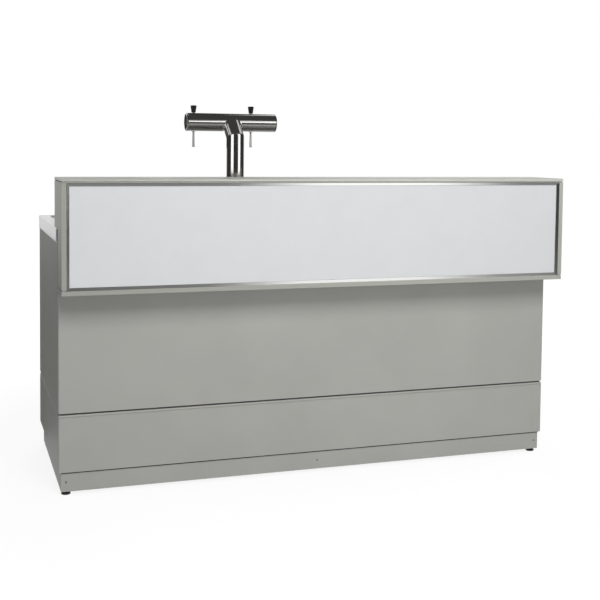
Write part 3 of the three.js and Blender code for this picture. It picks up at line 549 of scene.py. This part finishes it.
def add_feet():
    pad_r, neck_r, pad_high = 0.017, 0.008, 0.016
    pad = [(0.0, 0.0), (0.0155, 0.0), (pad_r, 0.0012), (pad_r, 0.0045)]
    pad += arc((pad_r - 0.0025, 0.0045), 0.0025, 0, 60, 4)
    pad += [(0.0085, 0.0088), (neck_r, 0.0095), (neck_r, pad_high), (0.0, pad_high)]
    nut_r, thread_start = 0.0078, 0.024
    crest_r, root_r, pitch, threads = 0.004, 0.0034, 0.002, 30
    stem = [(0.0, pad_high), (nut_r, pad_high), (nut_r, 0.0238), (0.0039, thread_start)]
    for i in range(threads):
        z = thread_start + i * pitch
        stem += [(crest_r, z + 0.0004), (root_r, z + 0.0014)]
    stem += [(root_r, 0.0858), (0.0, 0.086)]
    for corner in ("front_left", "front_right", "back_left", "back_right"):
        node = f"levelling_foot_{corner}"
        low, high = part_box(node)
        place = at(Vector(((low.x + high.x) / 2, (low.y + high.y) / 2, 0)))
        make(f"foot_pad_{corner}", lathe(pad, place, 48), node, "foot_plastic", [node])
        make(f"foot_screw_{corner}", lathe(stem, place, 24), node, "cabinet_steel")


def add_screws():
    end_x, height = 0.972, 0.05
    head_r, head_round, face, recess = 0.0035, 0.0009, 0.0012, 0.0002
    wall_end = face - head_round
    head = [(0.0, -0.001), (head_r, -0.001), (head_r, wall_end)]
    head += arc((head_r - head_round, wall_end), head_round, 0, 90, 3)
    head += [(0.0016, face), (0.0014, recess), (0.0, recess)]
    for index, x in enumerate((-end_x, 0.0, end_x)):
        place = at(Vector((x, plinth_low.y, height)), "-Y")
        make(f"plinth_screw_{index}", lathe(head, place, 24), "counter", "cabinet_steel",
             mat=screw_steel)


plinth_low, plinth_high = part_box("plinth_front")
add_feet()
add_screws()


# Black strips in the joints, on top of the plinth and round the cheeks: painted shade, standing in
# for the shadow in these gaps

SHADE_STRIP = 0.0006
SHADE_STRIP_HIGH = 0.0055


def add_strip(name, low, high):
    verts = [(x, y, z) for x in (low[0], high[0]) for y in (low[1], high[1])
             for z in (low[2], high[2])]
    faces = [(0, 1, 3, 2), (4, 6, 7, 5), (0, 4, 5, 1), (2, 3, 7, 6), (0, 2, 6, 4), (1, 5, 7, 3)]
    make(name, (verts, faces), "counter", "seal_rubber", mat=shade_strip_black)


def add_side_shade_strips(side, sign):
    # Painted shade: a black strip along the top of the plinth's side, under the body.
    edge = plinth_low.x if sign < 0 else plinth_high.x
    low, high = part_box(f"plinth_{side}")
    xs = sorted((edge, edge + sign * SHADE_STRIP))
    add_strip(f"plinth_shade_strip_{side}", (xs[0], low.y, high.z - SHADE_STRIP_HIGH), (xs[1], high.y, high.z))

    # Painted shade: black strips in the groove under the bar top, at the cheek's foot and up its
    # back edge.
    low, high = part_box(f"cheek_{side}")
    outer = low.x if sign < 0 else high.x
    deep, shallow, groove, inset = 0.0026, 0.0012, 0.0033, 0.001
    xs = sorted((outer - sign * deep, outer - sign * shallow))
    add_strip(f"cheek_shade_strip_{side}", (xs[0], low.y + inset, high.z - groove),
              (xs[1], high.y - inset, high.z))
    sunk, proud, foot_high, foot_drop, back_wide = 0.001, 0.0003, 0.0016, 0.0009, 0.0022
    xs = sorted((outer - sign * sunk, outer + sign * proud))
    add_strip(f"cheek_foot_shade_strip_{side}", (xs[0], low.y, low.z - foot_drop),
              (xs[1], FRONT, low.z + foot_high))
    add_strip(f"cheek_back_shade_strip_{side}", (xs[0], FRONT - back_wide, low.z + foot_high),
              (xs[1], FRONT, RIM_TOP))


# Painted shade: a black strip along the top of the plinth's front, under the body.
add_strip("plinth_shade_strip_front",
          (plinth_low.x - SHADE_STRIP, plinth_low.y - SHADE_STRIP, plinth_high.z - SHADE_STRIP_HIGH),
          (plinth_high.x + SHADE_STRIP, plinth_low.y, plinth_high.z))
for strip_side, strip_sign in SIGNS.items():
    add_side_shade_strips(strip_side, strip_sign)


# Worktop: one folded sheet with a rolled rim, a lowered field and its cut-outs

CORNER_STEPS = 10
SHEET = 0.0015
BORDER = 0.004
FRONT_CORNER = 0.04
BACK_CORNER = 0.012
LEAST_CORNER = 0.002
FIELD_HALF = 0.958
FIELD_FRONT = FRONT + 0.158
FIELD_BACK = FRONT + 0.733
FIELD_CORNER = 0.018
TRAY_SEAT = 0.009
TRAY_CORNER = 0.021
HOLE_R = 0.025


def rounded(x0, x1, y0, y1, front, back, z):
    """Rectangle with one corner radius at the front and one at the back."""
    corners = [(x1 - front, y0 + front, front, -90), (x1 - back, y1 - back, back, 0),
               (x0 + back, y1 - back, back, 90), (x0 + front, y0 + front, front, 180)]
    out = []
    for cx, cy, radius, start in corners:
        for x, y in arc((cx, cy), radius, start, start + 90, CORNER_STEPS):
            out.append(Vector((x, y, z)))
    return out


def quarter(*degrees):
    """Sine and cosine of each angle."""
    return [(math.sin(math.radians(a)), math.cos(math.radians(a))) for a in degrees]


def worktop_rings():
    """From the hem inside the turned-down edge, up over the rim and down into the field."""
    low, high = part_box("worktop")
    top = high.z
    hem, roll, ledge, shoulder = 0.018, 0.005, 0.006, 0.004
    fold_across, fold_down = 0.003, 0.004

    def outer(inset, z):
        return rounded(low.x + inset, high.x - inset, low.y + inset, high.y - inset,
                       max(FRONT_CORNER - inset, LEAST_CORNER),
                       max(BACK_CORNER - inset, LEAST_CORNER), z)

    def field(outset, z):
        half, corner = FIELD_HALF + outset, FIELD_CORNER + outset
        return rounded(-half, half, FIELD_FRONT - outset, FIELD_BACK + outset, corner, corner, z)

    rings = [outer(hem, low.z + SHEET), outer(hem, low.z), outer(SHEET, low.z)]
    rings += [outer(0.0003, low.z + 0.0005), outer(0.0, low.z + SHEET)]
    rings += [outer(0.0, low.z + 0.006), outer(0.0, top - roll)]
    rings += [outer(roll - roll * cos, top - roll + roll * sin)
              for sin, cos in quarter(18, 36, 54, 72, 90)]
    rings += [field(ledge, top)]
    rings += [field(ledge - shoulder * sin, top - shoulder + shoulder * cos)
              for sin, cos in quarter(22, 45, 67, 90)]
    wall_foot = ledge - shoulder - fold_across
    rings += [field(wall_foot + fold_across * cos, FIELD + fold_down - fold_down * sin)
              for sin, cos in quarter(22, 45, 67, 90)]
    return rings + [field(wall_foot - BORDER, FIELD)]


def tray_edge(outset):
    low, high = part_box("drip_tray")
    inset, corner = TRAY_SEAT - outset, TRAY_CORNER + outset
    return rounded(low.x + inset, high.x - inset, low.y + inset, high.y - inset,
                   corner, corner, FIELD)


def tower_hole(outset):
    return [TOWER + on_circle(HOLE_R + outset, t) for t in turns(48)]


def filled(*loops):
    """Level triangles inside the first loop and outside the others."""
    bm = bmesh.new()
    for loop in loops:
        made = [bm.verts.new(p) for p in loop]
        for j in range(len(made)):
            bm.edges.new((made[j], made[(j + 1) % len(made)]))
    bmesh.ops.triangle_fill(bm, use_beauty=True, edges=bm.edges[:], normal=(0, 0, 1))
    bm.verts.index_update()
    verts = [v.co.copy() for v in bm.verts]
    faces = [tuple(v.index for v in f.verts) for f in bm.faces]
    bm.free()
    return verts, faces


def add_worktop():
    """A narrow flat border at the rim and at each cut-out keeps the field's shading level."""
    rings = worktop_rings()
    shape = join(loft(rings, close=False),
                 loft([tray_edge(0), tray_edge(BORDER)], close=False),
                 loft([tower_hole(0), tower_hole(BORDER)], close=False),
                 filled(rings[-1], tray_edge(BORDER), tower_hole(BORDER)))
    obj = make("worktop_sheet", shape, "counter", "worktop_steel", ["worktop"])
    thick = obj.modifiers.new("sheet", "SOLIDIFY")
    thick.thickness = SHEET
    thick.offset = -1


add_worktop()


# Camera

CAMERA_PLACE = (-1.3769, -4.1587, 1.285)
CAMERA_ANGLES = (18.6205, -3.2262, 0.5876)
CAMERA_LENS = 63.056
CAMERA_SENSOR = 36
CAMERA_SHIFT = -0.1583
CAMERA_REACH = 60


def add_camera():
    yaw, pitch, roll = (math.radians(v) for v in CAMERA_ANGLES)
    ahead = Vector((math.sin(yaw) * math.cos(pitch), math.cos(yaw) * math.cos(pitch),
                    math.sin(pitch)))
    level_right = Vector((math.cos(yaw), -math.sin(yaw), 0))
    level_up = level_right.cross(ahead)
    right = math.cos(roll) * level_right + math.sin(roll) * level_up
    up = math.cos(roll) * level_up - math.sin(roll) * level_right
    data = bpy.data.cameras.new("camera")
    data.lens = CAMERA_LENS
    data.sensor_width = CAMERA_SENSOR
    data.shift_y = CAMERA_SHIFT
    data.clip_end = CAMERA_REACH
    cam = bpy.data.objects.new("camera", data)
    turn = Matrix((right, up, -ahead)).transposed().to_4x4()
    cam.matrix_world = Matrix.Translation(CAMERA_PLACE) @ turn
    scene.collection.objects.link(cam)
    scene.camera = cam


# Floor and world: white to the eye and in mirrors, dimmer as a source of light

FLOOR_HALF = 30
FLOOR_GLOW = 1.08
FLOOR_TONES = (0.36, 0.8)
FLOOR_SHARES = (0.8, 0.95)
FLOOR_FADE = (1.4, 3.0)
WORLD_LEVELS = (0.16, 1.0)


def stage_material(name):
    mat = bpy.data.materials.new(name)
    mat.use_nodes = True
    tree = mat.node_tree
    tree.nodes.clear()
    return mat, tree, add(tree, "ShaderNodeOutputMaterial").inputs["Surface"]


def stage_piece(name, verts, mat):
    mesh = bpy.data.meshes.new(name)
    mesh.from_pydata([tuple(v) for v in verts], [], [tuple(range(len(verts)))])
    mesh.materials.append(mat)
    obj = bpy.data.objects.new(name, mesh)
    scene.collection.objects.link(obj)
    return obj


def level_card(x0, x1, y0, y1, z=0.002):
    return [(x0, y0, z), (x1, y0, z), (x1, y1, z), (x0, y1, z)]


def seen_rays(tree):
    """1 for rays from the camera and from mirrors and glass, 0 for the rest."""
    rays = add(tree, "ShaderNodeLightPath").outputs
    seen = combine(tree, "MAXIMUM", rays["Is Camera Ray"], rays["Is Glossy Ray"])
    return combine(tree, "MAXIMUM", seen, rays["Is Transmission Ray"])


def add_floor():
    """A matt floor that keeps the counter's shadow, with more plain white further out."""
    mat, tree, surface = stage_material("floor")
    seen = seen_rays(tree)
    matt = add(tree, "ShaderNodeBsdfDiffuse")
    tree.links.new(spread(tree, seen, *FLOOR_TONES), matt.inputs["Color"])
    glow = add(tree, "ShaderNodeEmission", Color=(1, 1, 1, 1), Strength=FLOOR_GLOW)
    where = add(tree, "ShaderNodeTexCoord")
    distance = add(tree, "ShaderNodeVectorMath", operation="LENGTH")
    tree.links.new(where.outputs["Object"], distance.inputs[0])
    white = spread(tree, distance.outputs["Value"], *FLOOR_SHARES, *FLOOR_FADE)
    mix = add(tree, "ShaderNodeMixShader")
    tree.links.new(combine(tree, "MULTIPLY", seen, white), mix.inputs["Fac"])
    tree.links.new(matt.outputs[0], mix.inputs[1])
    tree.links.new(glow.outputs[0], mix.inputs[2])
    tree.links.new(mix.outputs[0], surface)
    stage_piece("floor", level_card(-FLOOR_HALF, FLOOR_HALF, -FLOOR_HALF, FLOOR_HALF, 0), mat)


def add_world():
    world = bpy.data.worlds.new("studio")
    scene.world = world
    world.use_nodes = True
    tree = world.node_tree
    back = tree.nodes["Background"]
    back.inputs["Color"].default_value = (1, 1, 1, 1)
    tree.links.new(spread(tree, seen_rays(tree), *WORLD_LEVELS), back.inputs["Strength"])


# Lamps: name, place, target, size and watts of each; mirrors don't show them

LAMPS = (
    ("key", (-0.3, -4.6, 4.1), (0, -0.4, 0.7), (3.0, 2.0), 197),
    ("side", (1.5, -3.5, 1.9), (0, -0.4, 0.9), (1.3, 2.0), 9),
    ("fill", (0.0, -3.9, 0.9), (0.0, -0.4, 0.6), (1.6, 1.0), 36),
    ("back", (0.4, 4.8, 1.8), (0, 0.4, 0.5), (3.0, 2.0), 140),
    ("right", (4.6, 0.6, 1.8), (1, 0.05, 0.6), (2.0, 1.5), 55),
    ("left", (-4.6, 0.8, 1.8), (-1, 0.05, 0.6), (2.0, 1.5), 25),
)


def add_lamp(name, place, target, size, power):
    data = bpy.data.lights.new(name, "AREA")
    data.shape = "RECTANGLE"
    data.size, data.size_y = size
    data.energy = power
    lamp = bpy.data.objects.new(name, data)
    lamp.location = place
    lamp.rotation_mode = "QUATERNION"
    lamp.rotation_quaternion = (Vector(target) - Vector(place)).to_track_quat("-Z", "Y")
    lamp.visible_glossy = False
    scene.collection.objects.link(lamp)


# Cards out of the picture, there only to be mirrored in polished metal

DARK = 0.05
BRIGHT = 2.0
FLAG_STEP = 18
FLAG_RADIUS = 7.0
REFLECTOR_RADIUS = 6.6


def add_card(name, verts, level, stops=()):
    """A dark flag or a bright reflector.

    With stops, pairs of a place along X and a share of the level, it fades from one to the next.
    """
    mat, tree, surface = stage_material(name)
    glow = add(tree, "ShaderNodeEmission", Strength=level)
    tree.links.new(glow.outputs[0], surface)
    if stops:
        left, right = stops[0][0], stops[-1][0]
        where = add(tree, "ShaderNodeTexCoord")
        split = add(tree, "ShaderNodeSeparateXYZ")
        tree.links.new(where.outputs["Object"], split.inputs["Vector"])
        fade = add(tree, "ShaderNodeValToRGB")
        points = fade.color_ramp.elements
        while len(points) < len(stops):
            points.new(0.5)
        for point, (x, share) in zip(points, stops):
            point.position = (x - left) / (right - left)
            point.color = (share, share, share, 1)
        tree.links.new(spread(tree, split.outputs["X"], 0, 1, left, right), fade.inputs["Fac"])
        tree.links.new(fade.outputs["Color"], glow.inputs["Color"])
    card = stage_piece(name, verts, mat)
    card.visible_camera = False
    card.visible_diffuse = False
    card.visible_shadow = False
    card.visible_transmission = False


def wall(start, end, low, high, radius=REFLECTOR_RADIUS):
    """An upright card round the tower, between two angles from the guests' side to the left."""
    feet = []
    for angle in (math.radians(start), math.radians(end)):
        away = Vector((-math.sin(angle), -math.cos(angle), 0))
        feet.append(Vector((TOWER.x, TOWER.y, 0)) + radius * away)
    up = Vector((0, 0, 1))
    return [feet[0] + low * up, feet[1] + low * up, feet[1] + high * up, feet[0] + high * up]


def add_cards():
    add_card("ceiling_flag", level_card(-6, 6, -6.5, 1.6, 5.0), 0.07)
    for index, start in enumerate(range(-122, 140, FLAG_STEP)):
        verts = wall(start, start + FLAG_STEP, 0.0, 6.0, FLAG_RADIUS)
        add_card(f"wall_flag_{index}", verts, DARK)
    # Slants up to the ceiling behind the tower, for the upper rim of the arm.
    verts = [(0.0, 3.0, 2.2), (1.0, 3.0, 2.2), (0.7, 1.6, 5.0), (-0.3, 1.6, 5.0)]
    add_card("rear_flag", verts, DARK)
    # The stripes on the column, the neck and the arm.
    add_card("left_reflector", wall(37, 70, 0.6, 4.2), BRIGHT)
    add_card("right_reflector", wall(-52, -23, 0.65, 1.6), BRIGHT)
    add_card("right_upper_reflector", wall(-47, -8, 1.6, 4.2), BRIGHT)
    # On the floor: grey all over, but bright before the middle of the top bezel.
    add_card("floor_flag", level_card(-7, 7, -7, -1.75), 0.25)
    add_card("floor_reflector", level_card(-7, 7, -1.75, -0.65), 1.5,
             [(-7, 0.17), (0.0, 0.2), (0.42, 1.0), (1.12, 1.0), (1.55, 0.2), (7, 0.2)])
    add_card("side_floor_flag", level_card(-4, -1.02, 0.5, 9), 0.1)
    # In front of the sign, for the bottom bezel.
    left, right = -0.95, 2.0
    verts = [(left, -1.7, 1.81), (right, -1.7, 1.81), (right, -1.4, 2.09), (left, -1.4, 2.09)]
    add_card("sign_reflector", verts, 1.4,
             [(left, 0.13), (-0.05, 0.2), (0.42, 1.0), (1.13, 1.0), (1.6, 0.27), (right, 0.25)])
    # Beside the left end of the arm, for its cap.
    verts = [(-0.9, 0.85, 1.27), (-0.48, 0.95, 1.27), (-0.48, 0.95, 1.5), (-0.9, 0.85, 1.5)]
    add_card("cap_flag", verts, DARK)


add_camera()
add_floor()
add_world()
for lamp in LAMPS:
    add_lamp(*lamp)
add_cards()

scene.view_settings.view_transform = "Standard"
